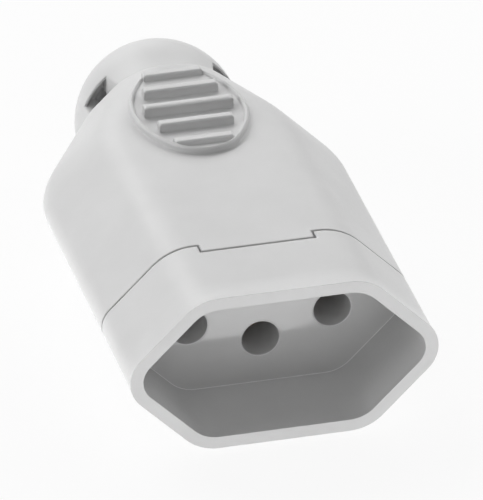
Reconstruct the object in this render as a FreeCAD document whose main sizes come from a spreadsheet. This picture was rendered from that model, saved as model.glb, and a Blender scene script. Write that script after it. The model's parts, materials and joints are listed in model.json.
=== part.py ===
import FreeCAD, Part

import math
import os
import re

import Sketcher
from FreeCAD import Placement, Rotation, Vector

# Female power plug: a rewireable outlet with two poles and earth for the end of a cord.
# A piece is drawn as seen from the front, where the mating plug goes in: x to the right, y up
# and z out of the mouth, so a depth behind the rim is a negative z.
# The assembly lies on its grip with the mouth towards -Y and the cord outlet towards +Y.
# A six-sided section is given at its sharp corners: half its width, half its height, and the
# radii of the two side corners and of the four edges beside the flat top and bottom.

SIZES = {
    # Rim and recess of the mouth
    "rim_half_width": 22.14,
    "rim_half_height": 10.97,
    "rim_side_radius": 4.6,
    "rim_edge_radius": 6.2,
    "recess_half_width": 19.83,
    "recess_half_height": 9.33,
    "recess_side_radius": 3.1,
    "recess_edge_radius": 4.6,
    "recess_depth": 12.36,
    "flare_length": 5.0,
    # Section that both shells share behind the flare
    "shell_half_width": 21.6,
    "shell_half_height": 10.2,
    "shell_side_radius": 3.3,
    "shell_edge_radius": 7.5,
    "shell_wall": 1.9,
    # Parting line, with a tongue of the rear housing at the top and the bottom
    "seam_depth": 14.95,
    "seam_gap": 0.3,
    "tongue_reach": 1.65,
    "tongue_half_width": 7.4,
    # Spigot of the front shell and its two snap barbs
    "spigot_cover": 1.4,
    "spigot_fit": 0.08,
    "spigot_wall": 1.5,
    "spigot_end": 21.5,
    "barb_half_width": 4.0,
    "barb_rise": 0.5,
    "barb_depth": 18.0,
    "barb_length": 1.7,
    # Pins: places of the poles and the earth
    "pole_offset": 9.5,
    "earth_drop": 3.0,
    "pin_hole_radius": 2.5,
    # Contact chambers behind the recess floor, each at the end of a long pin bore
    "chamber_front": 19.9,
    "chamber_radius": 3.98,
    "chamber_outer_radius": 5.2,
    "chamber_end": 31.0,
    "collar_radius": 4.45,
    "collar_length": 2.0,
    "collar_fit": 0.05,
    # Contacts, turned from round brass
    "contact_front": 20.4,
    "contact_radius": 3.5,
    "contact_bore": 2.4,
    "contact_bore_end": 33.0,
    "contact_end": 42.5,
    "finger_slit": 0.8,
    "finger_end": 27.0,
    "wire_hole_radius": 1.8,
    "wire_hole_drop": 0.8,
    "wire_hole_end": 35.0,
    "spring_depth": 21.5,
    "spring_length": 4.0,
    "spring_radius": 3.85,
    "spring_opening": 1.6,
    # Terminal screws
    "terminal_depth": 38.5,
    "terminal_stand_off": 1.0,
    "terminal_shank_radius": 1.5,
    "terminal_shank_length": 4.5,
    "terminal_head_radius": 2.5,
    "terminal_head_height": 2.0,
    # Terminal carrier, its screws and its bosses
    "carrier_thickness": 2.5,
    "carrier_clearance": 0.2,
    "carrier_fit": 0.1,
    "carrier_tongue_half_width": 8.0,
    "carrier_tongue_thickness": 1.3,
    "boss_offset": 5.2,
    "boss_rise": 5.7,
    "boss_radius": 2.3,
    "small_shank_radius": 1.2,
    "small_hole_radius": 1.3,
    "small_head_radius": 2.0,
    "small_head_height": 1.6,
    "carrier_shank_length": 8.0,
    "screw_slot": 0.7,
    "screw_slot_depth": 0.8,
    "screw_tip": 0.4,
    # Cord clamp
    "clamp_depth": 47.5,
    "clamp_length": 5.5,
    "clamp_half_width": 9.6,
    "clamp_shoulder": 3.5,
    "clamp_crown_half_width": 5.5,
    "clamp_crown": 7.6,
    "clamp_seat": 3.0,
    "clamp_bore": 4.8,
    "clamp_screw_offset": 7.4,
    "clamp_shank_length": 8.0,
    # Shoulder, neck, four windows between the bridges, and domed cord ring
    "shoulder_start": 45.3,
    "shoulder_bend": 49.1,
    "shoulder_bend_share": 0.081,
    "shoulder_slope": 52.9,
    "shoulder_slope_share": 0.324,
    "neck_depth": 60.8,
    "neck_half_width": 16.0,
    "neck_half_height": 11.2,
    "neck_side_radius": 8.8,
    "neck_edge_radius": 9.55,
    "tube_front": 58.0,
    "tube_radius": 10.6,
    "window_end": 65.0,
    "dome_depth": 65.8,
    "dome_radius": 11.0,
    "bridge_neck_half_width": 6.3,
    "bridge_ring_half_width": 7.2,
    "side_bridge_half_height": 4.1,
    "ring_lip": 0.35,
    "ring_lip_length": 1.8,
    "cord_radius": 4.5,
    # Grips: an oval brim on the shell, with cross ribs inside it whose tops follow a crown
    "grip_depth": 49.3,
    "grip_half_width": 7.6,
    "grip_half_length": 11.3,
    "grip_end_radius": 5.5,
    "brim_width": 0.6,
    "brim_rise": 0.9,
    "brim_bevel": 0.25,
    "brim_root": 1.7,
    "rib_depth": 49.85,
    "rib_pitch": 4.2,
    "rib_half_thickness": 0.7,
    "rib_half_length": 5.95,
    "rib_taper": 1.0,
    "rib_rise": 1.58,
    "rib_crown": 0.096,
    "rib_root": 0.5,
    "rib_bevel": 0.2,
}

# Ribs counted rearward from the middle one, and the highest of them
RIB_STEPS = (-2, -1, 0, 1, 2)
CREST_STEP = 1
AXIS_HEIGHT = "(shell_half_height + rib_rise)"
OVERALL_LENGTH = "(dome_depth + sqrt(dome_radius^2 - cord_radius^2))"
POLES = {
    "line": ("-pole_offset", "0"),
    "neutral": ("pole_offset", "0"),
    "earth": ("0", "-earth_drop"),
}
RIM = ("rim_half_width", "rim_half_height", "rim_side_radius", "rim_edge_radius")
RECESS = ("recess_half_width", "recess_half_height", "recess_side_radius", "recess_edge_radius")
SHELL = ("shell_half_width", "shell_half_height", "shell_side_radius", "shell_edge_radius")
NECK = ("neck_half_width", "neck_half_height", "neck_side_radius", "neck_edge_radius")

# Share of the way from the rim to the shell section, at this share of the flare's length
FLARE_MIDDLE = (0.4, 0.64)

FORWARD = Rotation(Vector(1, 0, 0), 90)
REARWARD = Rotation(Vector(1, 0, 0), -90)
UPRIGHT = Rotation()

doc = FreeCAD.newDocument("female_power_plug")
sheet = doc.addObject("Spreadsheet::Sheet", "Sizes")
for row, (alias, size) in enumerate(SIZES.items(), start=1):
    sheet.set(f"A{row}", alias)
    sheet.set(f"B{row}", str(size))
    sheet.setAlias(f"B{row}", alias)
doc.recompute()


def formula(text):
    """Point each size that a formula names at its cell in the sheet."""
    return re.sub("[a-z_]+", lambda word: f"Sizes.{word[0]}" if word[0] in SIZES else word[0], text)


def number(text):
    """The number that a formula comes to."""
    return float(sheet.evalExpression(text))


def bind(item, name, text):
    """Let a property follow a formula of the sheet's sizes."""
    item.setExpression(name, formula(text))


def new_body(label, across="0", up="0", depth="0", turn=FORWARD):
    """An empty piece whose own origin is at a place behind the centre of the rim."""
    body = doc.addObject("PartDesign::Body", label)
    body.Label = label
    body.Placement = Placement(Vector(), turn)
    bind(body, "Placement.Base.x", across)
    bind(body, "Placement.Base.y", f"({depth}) - {OVERALL_LENGTH}/2")
    bind(body, "Placement.Base.z", f"({up}) + {AXIS_HEIGHT}")
    return body


def new_sketch(body, name, depth="0", plane="XY_Plane"):
    """A sketch on an origin plane of its piece, moved back by a depth (or up, on the flat plane)."""
    sketch = body.newObject("Sketcher::SketchObject", name)
    support = next(feature for feature in body.Origin.OriginFeatures if feature.Role == plane)
    sketch.AttachmentSupport = [(support, "")]
    sketch.MapMode = "FlatFace"
    bind(sketch, "AttachmentOffset.Base.z", f"-({depth})")
    return sketch


def hold(sketch, kind, where, text):
    """A constraint whose value follows a formula."""
    index = sketch.addConstraint(Sketcher.Constraint(kind, *where, number(text)))
    bind(sketch, f"Constraints[{index}]", text)


def place(sketch, item, point, x, y):
    """Hold one point of a sketch at x and y from the origin."""
    for kind, axis, text in (("DistanceX", -2, x), ("DistanceY", -1, y)):
        if text == "0":
            sketch.addConstraint(Sketcher.Constraint("PointOnObject", item, point, axis))
        else:
            hold(sketch, kind, (-1, 1, item, point), text)


def draw_outline(sketch, corners):
    """A closed outline of straight edges, held at its corners."""
    spots = [Vector(number(x), number(y), 0) for x, y in corners]
    ends = spots[1:] + spots[:1]
    lines = [sketch.addGeometry(Part.LineSegment(*pair)) for pair in zip(spots, ends)]
    for line, after in zip(lines, lines[1:] + lines[:1]):
        sketch.addConstraint(Sketcher.Constraint("Coincident", line, 2, after, 1))
    for line, (x, y) in zip(lines, corners):
        place(sketch, line, 1, x, y)


def draw_rectangle(sketch, left, right, low, high):
    """A rectangle between two places across and two up."""
    draw_outline(sketch, [(left, low), (right, low), (right, high), (left, high)])


def draw_circle(sketch, x, y, radius):
    """A circle held by its centre and its radius."""
    centre = Vector(number(x), number(y), 0)
    circle = sketch.addGeometry(Part.Circle(centre, Vector(0, 0, 1), number(radius)))
    place(sketch, circle, 3, x, y)
    hold(sketch, "Radius", (circle,), radius)


def draw_rounded(sketch, rounds):
    """A closed outline of arcs (x, y, radius, first and last angle) joined by tangent lines."""
    arcs = []
    for x, y, radius, first, last in rounds:
        circle = Part.Circle(Vector(number(x), number(y), 0), Vector(0, 0, 1), number(radius))
        arc = Part.ArcOfCircle(circle, math.radians(first), math.radians(last))
        arcs.append(sketch.addGeometry(arc))
    for arc, after in zip(arcs, arcs[1:] + arcs[:1]):
        line = sketch.addGeometry(Part.LineSegment(sketch.getPoint(arc, 2), sketch.getPoint(after, 1)))
        sketch.addConstraint(Sketcher.Constraint("Tangent", arc, 2, line, 1))
        sketch.addConstraint(Sketcher.Constraint("Tangent", line, 2, after, 1))
    for arc, (x, y, radius, _, _) in zip(arcs, rounds):
        place(sketch, arc, 3, x, y)
        hold(sketch, "Radius", (arc,), radius)


def draw_section(sketch, section):
    """A six-sided section: flat top and bottom, 45 degree slopes to a point at each side, all rounded."""
    half_width, half_height, side_radius, edge_radius = section
    side = f"({half_width}) - sqrt(2)*({side_radius})"
    across = f"({half_width}) - ({half_height}) - (sqrt(2) - 1)*({edge_radius})"
    up = f"({half_height}) - ({edge_radius})"
    draw_rounded(sketch, [
        (side, "0", side_radius, -45, 45),
        (across, up, edge_radius, 45, 90),
        (f"-({across})", up, edge_radius, 90, 135),
        (f"-({side})", "0", side_radius, 135, 225),
        (f"-({across})", f"-({up})", edge_radius, 225, 270),
        (across, f"-({up})", edge_radius, 270, 315),
    ])


def between(first, second, share):
    """The section at a share of the way from one section to another."""
    return tuple(f"({a})*(1 - {share}) + ({b})*{share}" for a, b in zip(first, second))


def inset(section, wall):
    """The section that lies a wall inside another."""
    half_width, half_height, side_radius, edge_radius = section
    return (f"({half_width}) - sqrt(2)*({wall})", f"({half_height}) - ({wall})",
            f"({side_radius}) - ({wall})", f"({edge_radius}) - ({wall})")


def add_pad(body, sketch, length, forward=False, both_ways=False):
    """Grow a sketch into a solid, rearward unless told otherwise."""
    feature = body.newObject("PartDesign::Pad", f"{sketch.Name}_pad")
    feature.Profile = sketch
    bind(feature, "Length", length)
    feature.Reversed = not forward
    feature.Midplane = both_ways
    doc.recompute()
    return feature


def add_pocket(body, sketch, length, forward=False, both_ways=False):
    """Cut a sketch into the solid, rearward unless told otherwise, and see that it cuts."""
    before = body.Shape.Volume
    feature = body.newObject("PartDesign::Pocket", f"{sketch.Name}_pocket")
    feature.Profile = sketch
    bind(feature, "Length", length)
    feature.Reversed = forward
    feature.Midplane = both_ways
    doc.recompute()
    if body.Shape.Volume >= before:
        raise RuntimeError(f"{body.Label}: {sketch.Name} cuts nothing")
    return feature


def add_loft(body, kind, sketches, straight=False):
    """Carry a surface through several sections, smooth, or straight from each one to the next."""
    feature = body.newObject(f"PartDesign::{kind}Loft", f"{sketches[0].Name}_loft")
    feature.Profile = sketches[0]
    feature.Sections = sketches[1:]
    feature.Ruled = straight
    doc.recompute()
    return feature


def add_turned(body, kind, sketch):
    """Turn a half profile once round the upright axis of its sketch."""
    feature = body.newObject(f"PartDesign::{kind}", f"{sketch.Name}_turned")
    feature.Profile = sketch
    feature.ReferenceAxis = (sketch, ["V_Axis"])
    feature.Angle = 360
    doc.recompute()
    return feature


def section_sketch(body, name, depth, section):
    """A six-sided section at a depth behind the rim."""
    sketch = new_sketch(body, name, depth)
    draw_section(sketch, section)
    return sketch


def poles_sketch(body, name, depth, radius):
    """One circle for each pole."""
    sketch = new_sketch(body, name, depth)
    for across, up in POLES.values():
        draw_circle(sketch, across, up, radius)
    return sketch


SPIGOT = inset(SHELL, "spigot_cover + spigot_fit")
SPIGOT_TOP = f"({SPIGOT[1]})"
HOUSING_FRONT = "(seam_depth + seam_gap)"
CLAMP_MIDDLE = "(clamp_depth + clamp_length/2)"


def make_front_shell():
    """Collar, recess and floor, with the spigot, the snap barbs and the contact chambers behind."""
    body = new_body("front_shell")
    share_along, share_across = FLARE_MIDDLE
    rim = section_sketch(body, "rim", "0", RIM)
    middle = section_sketch(body, "flare", f"{share_along}*flare_length", between(RIM, SHELL, share_across))
    collar = section_sketch(body, "collar", "flare_length", SHELL)
    add_loft(body, "Additive", [rim, middle, collar])
    add_pad(body, section_sketch(body, "skirt", "flare_length", SHELL), "seam_depth - flare_length")

    spigot = section_sketch(body, "spigot", "seam_depth", SPIGOT)
    draw_section(spigot, inset(SPIGOT, "spigot_wall"))
    add_pad(body, spigot, "spigot_end - seam_depth")
    for pole, (across, up) in POLES.items():
        chamber = new_sketch(body, f"chamber_{pole}", "seam_depth")
        draw_circle(chamber, across, up, "chamber_outer_radius")
        add_pad(body, chamber, "chamber_end - seam_depth")
    for name, across in (("left", "-boss_offset"), ("right", "boss_offset")):
        boss = new_sketch(body, f"boss_{name}", "seam_depth")
        draw_circle(boss, across, "boss_rise", "boss_radius")
        add_pad(body, boss, "chamber_end - seam_depth")
    for name, sign in (("upper", ""), ("lower", "-")):
        barb = new_sketch(body, f"barb_{name}", plane="YZ_Plane")
        root = f"{sign}({SPIGOT_TOP} - barb_rise)"
        tip = f"{sign}({SPIGOT_TOP} + barb_rise)"
        foot = "-barb_depth - 2*barb_length"
        draw_outline(barb, [(root, "-barb_depth"), (tip, "-barb_depth"), (root, foot)])
        add_pad(body, barb, "2*barb_half_width", both_ways=True)

    add_pocket(body, section_sketch(body, "recess", "0", RECESS), "recess_depth")
    pin_holes = poles_sketch(body, "pin_holes", "recess_depth", "pin_hole_radius")
    add_pocket(body, pin_holes, "chamber_end - recess_depth")
    chambers = poles_sketch(body, "chambers", "chamber_end", "chamber_radius")
    add_pocket(body, chambers, "chamber_end - chamber_front", forward=True)
    collars = poles_sketch(body, "collars", "chamber_end", "collar_radius + collar_fit")
    add_pocket(body, collars, "collar_length", forward=True)
    pilots = new_sketch(body, "pilots", "chamber_end")
    for across in ("-boss_offset", "boss_offset"):
        draw_circle(pilots, across, "boss_rise", "small_shank_radius")
    add_pocket(body, pilots, "carrier_shank_length", forward=True)
    notches = new_sketch(body, "notches", "seam_depth - tongue_reach")
    reach = "tongue_half_width + seam_gap"
    for sign in ("", "-"):
        inner = f"{sign}({SPIGOT_TOP})"
        draw_rectangle(notches, f"-({reach})", reach, inner, f"{sign}(rim_half_height + 1)")
    add_pocket(body, notches, "tongue_reach")
    return body


def draw_oval(sketch, y, half_width, half_length, end_radius):
    """An oval of four tangent arcs about the upright axis: its two ends, and a wide arc at each side."""
    reach = f"({half_length} - {end_radius})"
    side_radius = f"(({reach}^2 + {half_width}^2 - {end_radius}^2)/(2*({half_width} - {end_radius})))"
    middle = number(y)
    centre_up = number(reach)
    centre_across = number(f"{side_radius} - {half_width}")
    joint = math.atan2(centre_up, centre_across)
    arcs = []
    for x, up, radius, first, last in (
            (-centre_across, 0, side_radius, -joint, joint),
            (0, centre_up, end_radius, joint, math.pi - joint),
            (centre_across, 0, side_radius, math.pi - joint, math.pi + joint),
            (0, -centre_up, end_radius, math.pi + joint, -joint)):
        circle = Part.Circle(Vector(x, middle + up, 0), Vector(0, 0, 1), number(radius))
        arcs.append(sketch.addGeometry(Part.ArcOfCircle(circle, first, last)))
        hold(sketch, "Radius", (arcs[-1],), radius)
    for arc, after in zip(arcs, arcs[1:] + arcs[:1]):
        sketch.addConstraint(Sketcher.Constraint("Tangent", arc, 2, after, 1))
    place(sketch, arcs[1], 3, "0", f"({y}) + {reach}")
    place(sketch, arcs[3], 3, "0", f"({y}) - {reach}")


def draw_corner(sketch, x, y, radius):
    """The corner of a disc about the axis that lies beyond x across and beyond y up."""
    inner = Vector(number(x), number(y), 0)
    size = number(radius)
    above = Vector(inner.x, math.copysign(math.sqrt(size**2 - inner.x**2), inner.y), 0)
    beside = Vector(math.copysign(math.sqrt(size**2 - inner.y**2), inner.x), inner.y, 0)
    upright = sketch.addGeometry(Part.LineSegment(above, inner))
    level = sketch.addGeometry(Part.LineSegment(inner, beside))
    ends = sorted([(math.atan2(above.y, above.x), upright, 1), (math.atan2(beside.y, beside.x), level, 2)])
    circle = Part.Circle(Vector(), Vector(0, 0, 1), size)
    arc = sketch.addGeometry(Part.ArcOfCircle(circle, ends[0][0], ends[1][0]))
    sketch.addConstraint(Sketcher.Constraint("Coincident", upright, 2, level, 1))
    for point, (_, line, line_point) in enumerate(ends, start=1):
        sketch.addConstraint(Sketcher.Constraint("Coincident", arc, point, line, line_point))
    sketch.addConstraint(Sketcher.Constraint("Coincident", arc, 3, -1, 1))
    sketch.addConstraint(Sketcher.Constraint("Vertical", upright))
    sketch.addConstraint(Sketcher.Constraint("Horizontal", level))
    place(sketch, upright, 2, x, y)
    hold(sketch, "Radius", (arc,), radius)


def draw_dome(sketch, wall):
    """Half profile of the neck's tube, which widens into a ball that is cut off flat at the cord hole.

    It lies a wall inside the outer profile. The tube's straight side touches the ball.
    """
    root = f"tube_radius - ({wall})"
    radius = f"dome_radius - ({wall})"
    end = f"dome_depth + sqrt(({radius})^2 - cord_radius^2)"
    centre = Vector(0, -number("dome_depth"), 0)
    foot = Vector(number(root), -number("tube_front"), 0) - centre
    touch = math.atan2(foot.y, foot.x) - math.acos(number(radius)/foot.Length)
    ball = Part.Circle(centre, Vector(0, 0, 1), number(radius))
    arc = sketch.addGeometry(Part.ArcOfCircle(ball, -math.acos(number("cord_radius")/number(radius)), touch))
    spots = [sketch.getPoint(arc, 1), Vector(0, -number(end), 0), Vector(0, foot.y + centre.y, 0),
             foot + centre, sketch.getPoint(arc, 2)]
    lip, axis, front, side = [sketch.addGeometry(Part.LineSegment(*pair)) for pair in zip(spots, spots[1:])]
    for item, after in ((lip, axis), (axis, front), (front, side)):
        sketch.addConstraint(Sketcher.Constraint("Coincident", item, 2, after, 1))
    sketch.addConstraint(Sketcher.Constraint("Coincident", arc, 1, lip, 1))
    sketch.addConstraint(Sketcher.Constraint("Tangent", side, 2, arc, 2))
    place(sketch, arc, 3, "0", "-dome_depth")
    hold(sketch, "Radius", (arc,), radius)
    hold(sketch, "DistanceX", (-1, 1, arc, 1), "cord_radius")
    place(sketch, axis, 1, "0", f"-({end})")
    place(sketch, front, 1, "0", "-tube_front")
    place(sketch, side, 1, root, "-tube_front")


def add_bevel(body, feature, height, size):
    """Bevel the edges of a feature that lie at one height."""
    edges = [f"Edge{index}" for index, edge in enumerate(feature.Shape.Edges, start=1)
             if abs(edge.BoundBox.YMin - height) + abs(edge.BoundBox.YMax - height) < 1e-3]
    bevel = body.newObject("PartDesign::Chamfer", f"{feature.Name}_bevel")
    bevel.Base = (feature, edges)
    bind(bevel, "Size", size)
    doc.recompute()


def add_grip(body, name, side):
    """Oval brim with cross ribs on the top (side 1) or the bottom (side -1) of the housing."""
    brim = new_sketch(body, f"brim_{name}", f"{side}*(shell_half_height - brim_root)", "XZ_Plane")
    for inward in ("0", "brim_width"):
        draw_oval(brim, "-grip_depth", f"(grip_half_width - {inward})", f"(grip_half_length - {inward})",
                  f"(grip_end_radius - {inward})")
    raised = add_pad(body, brim, "brim_root + brim_rise", forward=side < 0)
    add_bevel(body, raised, side*number("shell_half_height + brim_rise"), "brim_bevel")
    for index, step in enumerate(RIB_STEPS, start=1):
        rib = new_sketch(body, f"rib_{name}_{index}", f"{side}*(shell_half_height - rib_root)", "XZ_Plane")
        reach = f"rib_half_length - {abs(step)}*rib_taper"
        front = f"-(rib_depth + {step}*rib_pitch - rib_half_thickness)"
        rear = f"-(rib_depth + {step}*rib_pitch + rib_half_thickness)"
        rise = f"rib_rise - {(step - CREST_STEP)**2}*rib_crown"
        draw_rectangle(rib, f"-({reach})", reach, rear, front)
        standing = add_pad(body, rib, f"rib_root + {rise}", forward=side < 0)
        add_bevel(body, standing, side*number(f"shell_half_height + {rise}"), "rib_bevel")


def shoulder_sections(body, name, wall):
    """Four sections of the shoulder, from the shell round its bend and down its slope to the neck."""
    stations = (("start", "shoulder_start", "0"), ("bend", "shoulder_bend", "shoulder_bend_share"),
                ("slope", "shoulder_slope", "shoulder_slope_share"), ("neck", "neck_depth", "1"))
    return [section_sketch(body, f"{name}_{station}", depth, inset(between(SHELL, NECK, share), wall))
            for station, depth, share in stations]


def make_rear_housing():
    """Sleeve with tongues, grips, shoulder, windowed neck and domed cord ring, hollow throughout.

    Behind each window the ring is thinned from inside to a fine lip.
    """
    body = new_body("rear_housing")
    add_pad(body, section_sketch(body, "sleeve", HOUSING_FRONT, SHELL), f"shoulder_start - {HOUSING_FRONT}")
    add_grip(body, "upper", 1)
    add_grip(body, "lower", -1)
    sections = shoulder_sections(body, "shoulder", "0")
    add_loft(body, "Additive", sections[:3])
    add_loft(body, "Additive", sections[2:], straight=True)
    dome = new_sketch(body, "dome", plane="XZ_Plane")
    draw_dome(dome, "0")
    add_turned(body, "Revolution", dome)
    tongues = new_sketch(body, "tongues", HOUSING_FRONT)
    for sign in ("", "-"):
        inner = f"{sign}(shell_half_height - spigot_cover)"
        draw_rectangle(tongues, "-tongue_half_width", "tongue_half_width", inner, f"{sign}shell_half_height")
    add_pad(body, tongues, "tongue_reach", forward=True)

    socket = section_sketch(body, "spigot_socket", HOUSING_FRONT, inset(SHELL, "spigot_cover"))
    add_pocket(body, socket, f"spigot_end - {HOUSING_FRONT}")
    add_pocket(body, section_sketch(body, "cavity", "spigot_end", inset(SHELL, "shell_wall")),
               "shoulder_start - spigot_end")
    add_loft(body, "Subtractive", shoulder_sections(body, "hollow", "shell_wall"), straight=True)
    dome_hollow = new_sketch(body, "dome_hollow", plane="XZ_Plane")
    draw_dome(dome_hollow, "shell_wall")
    add_turned(body, "Groove", dome_hollow)
    cord_hole = new_sketch(body, "cord_hole", "dome_depth")
    draw_circle(cord_hole, "0", "0", "cord_radius")
    add_pocket(body, cord_hole, "2*dome_radius")
    clear = "2*dome_radius"
    for name, side in (("upper", 1), ("lower", -1)):
        windows = new_sketch(body, f"windows_{name}", f"{side}*side_bridge_half_height", "XZ_Plane")
        for sign in ("", "-"):
            draw_outline(windows, [
                (f"{sign}bridge_neck_half_width", "-neck_depth"), (f"{sign}{clear}", "-neck_depth"),
                (f"{sign}{clear}", "-window_end"), (f"{sign}bridge_ring_half_width", "-window_end")])
        add_pocket(body, windows, clear, forward=side < 0)
    thinned = new_sketch(body, "thinned", "window_end")
    for across in ("", "-"):
        for up in ("", "-"):
            draw_corner(thinned, f"{across}bridge_ring_half_width", f"{up}side_bridge_half_height",
                        "dome_radius - ring_lip")
    add_pocket(body, thinned, "ring_lip_length")
    for name, sign in (("upper", ""), ("lower", "-")):
        catch = new_sketch(body, f"catch_{name}", plane="YZ_Plane")
        root = f"{sign}({SPIGOT_TOP} - barb_rise)"
        tip = f"{sign}({SPIGOT_TOP} + barb_rise + spigot_fit)"
        draw_rectangle(catch, root, tip, "-barb_depth - barb_length - spigot_fit", "-barb_depth")
        add_pocket(body, catch, "2*(barb_half_width + spigot_fit)", both_ways=True)
    return body


def make_contact(pole, across, up):
    """Turned contact: four fingers round the pin bore, a collar, and a barrel for the wire."""
    body = new_body(f"contact_{pole}", across, up)
    profile = new_sketch(body, "profile", plane="XZ_Plane")
    collar_front = "-(chamber_end - collar_length)"
    draw_outline(profile, [
        ("contact_bore", "-contact_front"), ("contact_radius", "-contact_front"),
        ("contact_radius", collar_front), ("collar_radius", collar_front),
        ("collar_radius", "-chamber_end"), ("contact_radius", "-chamber_end"),
        ("contact_radius", "-contact_end"), ("0", "-contact_end"),
        ("0", "-contact_bore_end"), ("contact_bore", "-contact_bore_end"),
    ])
    add_turned(body, "Revolution", profile)
    long, short = "2*contact_radius", "finger_slit/2"
    for name, half_width, half_height in (("flat", long, short), ("upright", short, long)):
        slit = new_sketch(body, f"slit_{name}", "contact_front")
        draw_rectangle(slit, f"-({half_width})", half_width, f"-({half_height})", half_height)
        add_pocket(body, slit, "finger_end - contact_front")
    wire_hole = new_sketch(body, "wire_hole", "contact_end")
    draw_circle(wire_hole, "0", "-wire_hole_drop", "wire_hole_radius")
    add_pocket(body, wire_hole, "contact_end - wire_hole_end", forward=True)
    screw_hole = new_sketch(body, "screw_hole", "contact_radius", "XZ_Plane")
    draw_circle(screw_hole, "0", "-terminal_depth", "terminal_shank_radius")
    add_pocket(body, screw_hole, "contact_radius", forward=True)
    return body


def make_spring(pole, across, up):
    """Steel ring round the fingers of a contact, open at the top."""
    body = new_body(f"contact_spring_{pole}", across, up)
    ring = new_sketch(body, "ring", "spring_depth")
    draw_circle(ring, "0", "0", "spring_radius")
    draw_circle(ring, "0", "0", "contact_radius")
    add_pad(body, ring, "spring_length")
    opening = new_sketch(body, "opening", "spring_depth")
    draw_rectangle(opening, "-spring_opening/2", "spring_opening/2", "0", "2*spring_radius")
    add_pocket(body, opening, "spring_length")
    return body


def make_screw(label, place_at, turn, head_radius, head_height, shank_radius, shank_length):
    """Slotted screw that stands on the underside of its head."""
    across, up, depth = place_at
    body = new_body(label, across, up, depth, turn)
    profile = new_sketch(body, "profile", plane="XZ_Plane")
    draw_outline(profile, [
        ("0", f"-({shank_length})"), (f"{shank_radius} - screw_tip", f"-({shank_length})"),
        (shank_radius, f"-({shank_length}) + screw_tip"), (shank_radius, "0"),
        (head_radius, "0"), (head_radius, head_height), ("0", head_height),
    ])
    add_turned(body, "Revolution", profile)
    slot = new_sketch(body, "slot", f"-{head_height}")
    draw_rectangle(slot, f"-2*{head_radius}", f"2*{head_radius}", "-screw_slot/2", "screw_slot/2")
    add_pocket(body, slot, "screw_slot_depth")
    return body


def make_terminal_screw(pole, across, up):
    """Screw that stands in a contact's barrel and reaches into its wire hole."""
    seat = f"({up}) + contact_radius + terminal_stand_off"
    return make_screw(f"terminal_screw_{pole}", (across, seat, "terminal_depth"), UPRIGHT,
                      "terminal_head_radius", "terminal_head_height",
                      "terminal_shank_radius", "terminal_shank_length")


def make_carrier_screw(side, sign):
    """Screw through the carrier into a boss of the front shell."""
    place_at = (f"{sign}boss_offset", "boss_rise", "chamber_end + carrier_thickness")
    return make_screw(f"carrier_screw_{side}", place_at, REARWARD, "small_head_radius", "small_head_height",
                      "small_shank_radius", "carrier_thickness + carrier_shank_length - screw_tip")


def make_clamp_screw(side, sign):
    """Screw that draws the clamp bar down on its saddle."""
    place_at = (f"{sign}clamp_screw_offset", "clamp_seat", CLAMP_MIDDLE)
    return make_screw(f"cord_clamp_screw_{side}", place_at, UPRIGHT, "small_head_radius", "small_head_height",
                      "small_shank_radius", "clamp_shank_length")


def clamp_half(body, name, sign, crown):
    """One half of the cord clamp, above (no sign) or below (minus) the cord: a block with a round trough."""
    block = new_sketch(body, f"{name}_block", "clamp_depth")
    shoulder = f"{sign}clamp_shoulder"
    top = f"{sign}({crown})"
    draw_outline(block, [
        ("-clamp_half_width", "0"), ("-clamp_half_width", shoulder), ("-clamp_crown_half_width", top),
        ("clamp_crown_half_width", top), ("clamp_half_width", shoulder), ("clamp_half_width", "0"),
    ])
    add_pad(body, block, "clamp_length")
    trough = new_sketch(body, f"{name}_trough", "clamp_depth")
    draw_circle(trough, "0", "0", "clamp_bore")
    add_pocket(body, trough, "clamp_length")


def clamp_holes(body, name, height, radius, length):
    """A pair of holes down from one height, where the clamp's screws stand."""
    holes = new_sketch(body, name, height, "XZ_Plane")
    for across in ("-clamp_screw_offset", "clamp_screw_offset"):
        draw_circle(holes, across, f"-{CLAMP_MIDDLE}", radius)
    add_pocket(body, holes, length, forward=True)


def make_terminal_carrier():
    """Plate that keeps the contacts in their chambers, with a tongue that ends in the clamp's saddle."""
    body = new_body("terminal_carrier")
    outer = inset(SHELL, "shell_wall + carrier_clearance")
    plate = section_sketch(body, "plate", "chamber_end", outer)
    for across, up in POLES.values():
        draw_circle(plate, across, up, "contact_radius + carrier_fit")
    for across in ("-boss_offset", "boss_offset"):
        draw_circle(plate, across, "boss_rise", "small_hole_radius")
    add_pad(body, plate, "carrier_thickness")
    tongue = new_sketch(body, "tongue", "chamber_end")
    draw_rectangle(tongue, "-carrier_tongue_half_width", "carrier_tongue_half_width",
                   f"-({outer[1]})", f"-({outer[1]}) + carrier_tongue_thickness")
    add_pad(body, tongue, "clamp_depth - chamber_end")
    clamp_half(body, "saddle", "-", outer[1])
    clamp_holes(body, "pilots", "0", "small_shank_radius", "clamp_shank_length - clamp_seat")
    return body


def make_cord_clamp_bar():
    """Upper half of the cord clamp, with sunk seats for its screws."""
    body = new_body("cord_clamp_bar")
    clamp_half(body, "bar", "", "clamp_crown")
    clamp_holes(body, "seats", "clamp_crown", "small_head_radius + carrier_fit", "clamp_crown - clamp_seat")
    clamp_holes(body, "holes", "clamp_crown", "small_hole_radius", "clamp_crown")
    return body


def check_and_write(bodies):
    """Stop at any failed object, then write each piece."""
    failed = [item.Label for item in doc.Objects if {"Invalid", "Error"} & set(item.State)]
    unsound = [body.Label for body in bodies if body.Shape.isNull() or not body.Shape.isValid()]
    if failed or unsound:
        raise RuntimeError(f"failed {failed}, unsound {unsound}")
    os.makedirs("parts", exist_ok=True)
    for body in bodies:
        body.Shape.exportStep(f"parts/{body.Label}.step")


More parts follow.
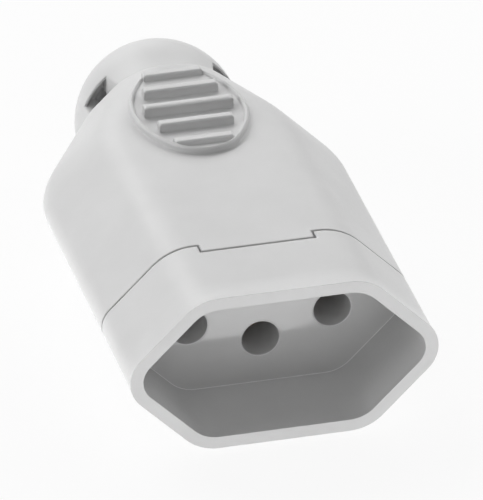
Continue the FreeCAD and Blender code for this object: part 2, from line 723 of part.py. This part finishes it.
pieces = [make_front_shell(), make_rear_housing(), make_terminal_carrier(), make_cord_clamp_bar()]
for pole, (across, up) in POLES.items():
    pieces += [make_contact(pole, across, up), make_spring(pole, across, up)]
    pieces.append(make_terminal_screw(pole, across, up))
for side, sign in (("left", "-"), ("right", "")):
    pieces += [make_carrier_screw(side, sign), make_clamp_screw(side, sign)]
doc.recompute()
check_and_write(pieces)
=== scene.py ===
"""Female power plug: a light grey cord outlet on a white table, seen from the front left and above."""

import json
import math

import bpy
from mathutils import Matrix, Vector


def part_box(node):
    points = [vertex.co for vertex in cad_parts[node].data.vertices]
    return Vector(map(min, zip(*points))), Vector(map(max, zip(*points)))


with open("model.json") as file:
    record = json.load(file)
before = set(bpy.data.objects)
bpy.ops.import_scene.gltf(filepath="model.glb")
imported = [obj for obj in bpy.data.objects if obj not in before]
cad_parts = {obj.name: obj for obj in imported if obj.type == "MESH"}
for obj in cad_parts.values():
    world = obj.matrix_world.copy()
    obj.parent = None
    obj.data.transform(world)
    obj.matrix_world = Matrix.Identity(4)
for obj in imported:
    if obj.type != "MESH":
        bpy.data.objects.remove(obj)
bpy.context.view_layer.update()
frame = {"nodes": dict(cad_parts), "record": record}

MM = 0.001

# The plug lies along Y, its rim in front: half its length, and the height of its axis above the table
HALF_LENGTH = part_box("rear_housing")[1].y
SHELL_LOW, SHELL_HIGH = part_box("front_shell")
AXIS_HEIGHT = (SHELL_LOW.z + SHELL_HIGH.z)/2
RIM = -HALF_LENGTH
RECESS_FLOOR = RIM + 12.36*MM

# Colour of the plastic: faint clouds, and a thin painted highlight round the recess floor
CLOUD_MM = 7
CLOUD_DARK, CLOUD_LIGHT = 0.975, 1.02
# Width of the rounded edge that the painted highlight follows, and how much lighter its painted colour
# is
PAINTED_HIGHLIGHT_MM = 0.3
PAINTED_HIGHLIGHT_GAIN = 1.5
# How far in front of the floor and behind it the painted highlight may reach
PAINTED_HIGHLIGHT_REACH = 0.4*MM
# Cosine of the turn from the face to its rounded edge, where the painted highlight starts and where it
# is full
PAINTED_HIGHLIGHT_START, PAINTED_HIGHLIGHT_FULL = 0.98, 0.86

# Grain of the plastic. The real one is about 0.05 mm wide and is drawn coarser, so that it shows
GRAIN_MM = 0.35
GRAIN_HEIGHT = 0.04*MM
GRAIN_STRENGTH = 0.12
SATIN_LOW, SATIN_HIGH = 0.4, 0.52
PLASTIC_IOR = 1.53
# Between these depths the edges of the rim give way to the rounder ones behind it
CRISP_UNTIL, ROUND_FROM = RIM + 3*MM, RIM + 6*MM

# Tool lines of the metal. The real ones are under 0.1 mm apart and are drawn coarser, so that they show
TOOL_LINE_HEIGHT = 0.02*MM
TOOL_LINE_STRENGTH = 0.15
METAL_EDGE = 0.15*MM
# Roughness across a tool line, as shares of the metal's own
TOOL_LINE_BRIGHT, TOOL_LINE_DULL = 0.8, 1.25

# Most values of a noise texture lie between these two
NOISE_LOW, NOISE_HIGH = 0.3, 0.7
# Distance between the bands of a wave texture at scale 1
WAVE_LENGTH = math.tau/20
# Sockets of the Mix node when it mixes colours
MIX_FACTOR, MIX_A, MIX_B, MIX_RESULT = 0, 6, 7, 2

# The share of the table that glows white to the camera; the rest takes the shadow
TABLE_GLOW = 0.9
TABLE_HALF_SIDE = 3.0

# Long lens, aimed from the front left and above; the picture is 500 pixels high on a 36 mm sensor
AZIMUTH = math.radians(-14.54)
ELEVATION = math.radians(29.69)
DISTANCE = 1525.1*MM
SIDEWAYS = 5.53*MM
UPWARD = -14.62*MM
FOCAL_PIXELS = 12000
PICTURE_HEIGHT = 500
SENSOR_MM = 36
NEAREST, FARTHEST = 0.1, 10

# Most lamps point at the middle of the plug
AIM_MM = (0, 0, 10)

# Name, place, target, width and height in mm, and watts
LAMPS = (
    # Main light, from the rear left: the top face and the tops of the ribs
    ("key", (-260, 420, 520), AIM_MM, 420, 420, 2.25),
    # The sides, the dome and the back
    ("left", (-700, 0, 250), AIM_MM, 400, 400, 2.15),
    ("rear", (0, 700, 400), AIM_MM, 500, 500, 1.35),
    ("rear_right", (400, 500, 400), AIM_MM, 400, 400, 1.26),
    ("right", (700, 0, 300), AIM_MM, 400, 400, 1.60),
    # The rim, the fronts of the ribs and the recess
    ("front_high", (0, -400, 600), AIM_MM, 400, 400, 0.40),
    ("fill", (-180, -700, 400), AIM_MM, 300, 300, 0.54),
    # Light that the table throws back up in front of the plug
    ("lit_table", (0, -120, 0.3), (0, -120, 100), 500, 300, 0.29),
    # Shines up through the table into the recess: a lighter strip with a crisp edge on its floor
    ("under_table", (190, -640, -344), (0, -38, 8), 120, 24, 0.88),
)


def linear(code):
    """The linear colour of an sRGB hex code."""
    parts = [int(code[i:i + 2], 16)/255 for i in (0, 2, 4)]
    return tuple(p/12.92 if p <= 0.04045 else ((p + 0.055)/1.055)**2.4 for p in parts) + (1.0,)


def shade(colour, factor):
    """A linear colour made lighter or darker, at most white."""
    return tuple(min(c*factor, 1.0) for c in colour[:3]) + (1.0,)


def per_metre(size_mm):
    """Texture scale at which one blotch or line is about this wide."""
    return 1/(size_mm*MM)


def add(tree, kind, inputs=(), **settings):
    """Add a node, set its properties, and give its inputs values or links."""
    item = tree.nodes.new(f"ShaderNode{kind}")
    for name, value in settings.items():
        setattr(item, name, value)
    for name, value in dict(inputs).items():
        if isinstance(value, bpy.types.NodeSocket):
            tree.links.new(value, item.inputs[name])
        else:
            item.inputs[name].default_value = value
    return item


def new_material(name):
    """A material with no nodes yet, and its node tree."""
    material = bpy.data.materials.new(name)
    material.use_nodes = True
    material.node_tree.nodes.clear()
    return material, material.node_tree


def finish_material(tree, shader):
    """Send a shader to the material's output."""
    add(tree, "OutputMaterial", {"Surface": shader.outputs[0]})


def moulded_plastic(name, code, rim_edge_mm, edge_mm):
    """Plastic from a spark-eroded mould: a fine even grain, a satin gloss and a faintly cloudy colour.

    Its edges are crisp at the rim, where the mould parts, and rounder behind it. A thin painted
    highlight, a lighter colour, runs round the edges of the recess floor and the pin holes."""
    material, tree = new_material(name)
    place = add(tree, "TexCoord").outputs["Object"]
    depth = add(tree, "SeparateXYZ", {"Vector": place}).outputs["Y"]

    base = linear(code)
    cloud = add(tree, "TexNoise", {"Vector": place, "Scale": per_metre(CLOUD_MM), "Detail": 2.0})
    tint = add(tree, "ValToRGB", {"Fac": cloud.outputs["Fac"]})
    low, high = tint.color_ramp.elements
    low.position, high.position = NOISE_LOW, NOISE_HIGH
    low.color, high.color = shade(base, CLOUD_DARK), shade(base, CLOUD_LIGHT)

    # Painted highlight: a lighter colour where the faces at the recess floor's depth turn into their
    # rounded edges
    crease = add(tree, "Bevel", {"Radius": PAINTED_HIGHLIGHT_MM*MM}, samples=8)
    face = add(tree, "NewGeometry")
    turn = add(tree, "VectorMath", {0: crease.outputs["Normal"], 1: face.outputs["Normal"]},
               operation="DOT_PRODUCT")
    near = add(tree, "Math", {0: depth, 1: RECESS_FLOOR, 2: PAINTED_HIGHLIGHT_REACH}, operation="COMPARE")
    painted_highlight = add(tree, "MapRange", {"Value": turn.outputs["Value"],
                                  "From Min": PAINTED_HIGHLIGHT_START, "From Max": PAINTED_HIGHLIGHT_FULL,
                                  "To Min": 0.0, "To Max": near.outputs[0]})
    colour = add(tree, "Mix", {MIX_FACTOR: painted_highlight.outputs["Result"], MIX_A: tint.outputs["Color"],
                               MIX_B: shade(base, PAINTED_HIGHLIGHT_GAIN)}, data_type="RGBA")

    grain = add(tree, "TexNoise", {"Vector": place, "Scale": per_metre(GRAIN_MM), "Detail": 3.0})
    gloss = add(tree, "MapRange", {"Value": grain.outputs["Fac"],
                                   "From Min": NOISE_LOW, "From Max": NOISE_HIGH,
                                   "To Min": SATIN_LOW, "To Max": SATIN_HIGH})
    radius = add(tree, "MapRange", {"Value": depth, "From Min": CRISP_UNTIL, "From Max": ROUND_FROM,
                                    "To Min": rim_edge_mm*MM, "To Max": edge_mm*MM})
    edge = add(tree, "Bevel", {"Radius": radius.outputs["Result"]}, samples=8)
    bump = add(tree, "Bump", {"Height": grain.outputs["Fac"], "Strength": GRAIN_STRENGTH,
                              "Distance": GRAIN_HEIGHT, "Normal": edge.outputs["Normal"]})
    shader = add(tree, "BsdfPrincipled", {"Base Color": colour.outputs[MIX_RESULT],
                                          "Roughness": gloss.outputs["Result"],
                                          "IOR": PLASTIC_IOR, "Normal": bump.outputs["Normal"]})
    finish_material(tree, shader)
    return material


def turned_metal(name, code, roughness, line_mm):
    """Turned or rolled metal: fine tool lines across its length, which stretch the light across them."""
    material, tree = new_material(name)
    place = add(tree, "TexCoord").outputs["Object"]
    lines = add(tree, "TexWave", {"Vector": place, "Scale": per_metre(line_mm)*WAVE_LENGTH,
                                  "Distortion": 1.5, "Detail": 2.0}, bands_direction="Y")
    gloss = add(tree, "MapRange", {"Value": lines.outputs["Fac"],
                                   "To Min": roughness*TOOL_LINE_BRIGHT,
                                   "To Max": roughness*TOOL_LINE_DULL})
    edge = add(tree, "Bevel", {"Radius": METAL_EDGE}, samples=6)
    bump = add(tree, "Bump", {"Height": lines.outputs["Fac"], "Strength": TOOL_LINE_STRENGTH,
                              "Distance": TOOL_LINE_HEIGHT, "Normal": edge.outputs["Normal"]})
    shader = add(tree, "BsdfPrincipled", {"Base Color": linear(code), "Metallic": 1.0,
                                          "Roughness": gloss.outputs["Result"],
                                          "Normal": bump.outputs["Normal"]})
    finish_material(tree, shader)
    return material


# Edges in mm, at the rim and behind it, for plastic; roughness and tool lines in mm for metal
FINISHES = {
    # The two shells: pale and satin, with soft edges on the ribs and the brim
    "shell_plastic": moulded_plastic("light_grey_abs", "CDCDCD", 0.06, 0.5),
    # Carrier and clamp bar: dark behind the windows and in the cord outlet
    "carrier_plastic": moulded_plastic("dark_polyamide", "3A3A3A", 0.06, 0.2),
    # Contacts: yellow, with soft streaks round the bores
    "contact_brass": turned_metal("turned_brass", "C9A55C", 0.3, 0.3),
    # Rings on the contacts: darker and duller than the screws
    "spring_steel": turned_metal("rolled_spring_steel", "8F9093", 0.35, 0.3),
    # Screws: bright, with a faintly blue coat
    "screw_steel": turned_metal("zinc_plated_steel", "B9BBBE", 0.3, 0.25),
}
for part in frame["record"]["subparts"]:
    piece = frame["nodes"][part["node"]]
    piece.data.materials.clear()
    piece.data.materials.append(FINISHES[part["material_slot"]])


def sees_background(tree):
    """1 for rays from the camera, from gloss and through glass, else 0."""
    path = add(tree, "LightPath").outputs
    either = add(tree, "Math", {0: path["Is Camera Ray"], 1: path["Is Glossy Ray"]},
                 operation="MAXIMUM")
    any_of_three = add(tree, "Math", {0: either.outputs[0], 1: path["Is Transmission Ray"]},
                       operation="MAXIMUM")
    return any_of_three.outputs[0]


def make_table():
    """A white table top that glows white to the camera and takes a soft shadow.

    It casts no shadow itself, so that the lamp below it shines through."""
    side = TABLE_HALF_SIDE
    corners = [(-side, -side, 0), (side, -side, 0), (side, side, 0), (-side, side, 0)]
    mesh = bpy.data.meshes.new("table")
    mesh.from_pydata(corners, [], [(0, 1, 2, 3)])
    table = bpy.data.objects.new("table", mesh)
    bpy.context.scene.collection.objects.link(table)
    # White laminate: smooth and even, with no gloss to the eye
    material, tree = new_material("white_laminate")
    share = add(tree, "Math", {0: sees_background(tree), 1: TABLE_GLOW}, operation="MULTIPLY")
    matte = add(tree, "BsdfDiffuse", {"Color": linear("F4F4F4")})
    glow = add(tree, "Emission", {"Color": linear("FFFFFF"), "Strength": 1.0})
    both = add(tree, "MixShader", {0: share.outputs[0], 1: matte.outputs[0], 2: glow.outputs[0]})
    finish_material(tree, both)
    mesh.materials.append(material)
    table.visible_shadow = False


def make_room():
    """A room that is white to the camera and in reflections; all the other light is the lamps'."""
    world = bpy.data.worlds.new("studio")
    bpy.context.scene.world = world
    world.use_nodes = True
    tree = world.node_tree
    tree.nodes.clear()
    light = add(tree, "Background", {"Color": linear("FFFFFF"), "Strength": sees_background(tree)})
    add(tree, "OutputWorld", {"Surface": light.outputs[0]})


def make_lamp(name, place_mm, target_mm, width_mm, height_mm, watts):
    """A rectangular soft lamp at a place, turned to a target."""
    light = bpy.data.lights.new(name, "AREA")
    light.shape = "RECTANGLE"
    light.size = width_mm*MM
    light.size_y = height_mm*MM
    light.energy = watts
    lamp = bpy.data.objects.new(name, light)
    bpy.context.scene.collection.objects.link(lamp)
    place = Vector(place_mm)*MM
    aim = Vector(target_mm)*MM - place
    lamp.matrix_world = Matrix.Translation(place) @ aim.to_track_quat("-Z", "Y").to_matrix().to_4x4()


def make_camera():
    """The photograph's camera: level, at an azimuth and an elevation about the centre of the rim."""
    level = math.cos(ELEVATION)
    back = Vector((math.sin(AZIMUTH)*level, -math.cos(AZIMUTH)*level, math.sin(ELEVATION)))
    right = Vector((math.cos(AZIMUTH), math.sin(AZIMUTH), 0))
    up = back.cross(right)
    centre = Vector((0, RIM, AXIS_HEIGHT))
    place = centre - right*SIDEWAYS - up*UPWARD + back*DISTANCE
    data = bpy.data.cameras.new("camera")
    data.sensor_width = SENSOR_MM
    data.lens = FOCAL_PIXELS*SENSOR_MM/PICTURE_HEIGHT
    data.clip_start = NEAREST
    data.clip_end = FARTHEST
    camera = bpy.data.objects.new("camera", data)
    bpy.context.scene.collection.objects.link(camera)
    turn = Matrix((right, up, back)).transposed().to_4x4()
    camera.matrix_world = Matrix.Translation(place) @ turn
    bpy.context.scene.camera = camera


make_table()
make_room()
for lamp_row in LAMPS:
    make_lamp(*lamp_row)
make_camera()
bpy.context.scene.view_settings.view_transform = "Standard"
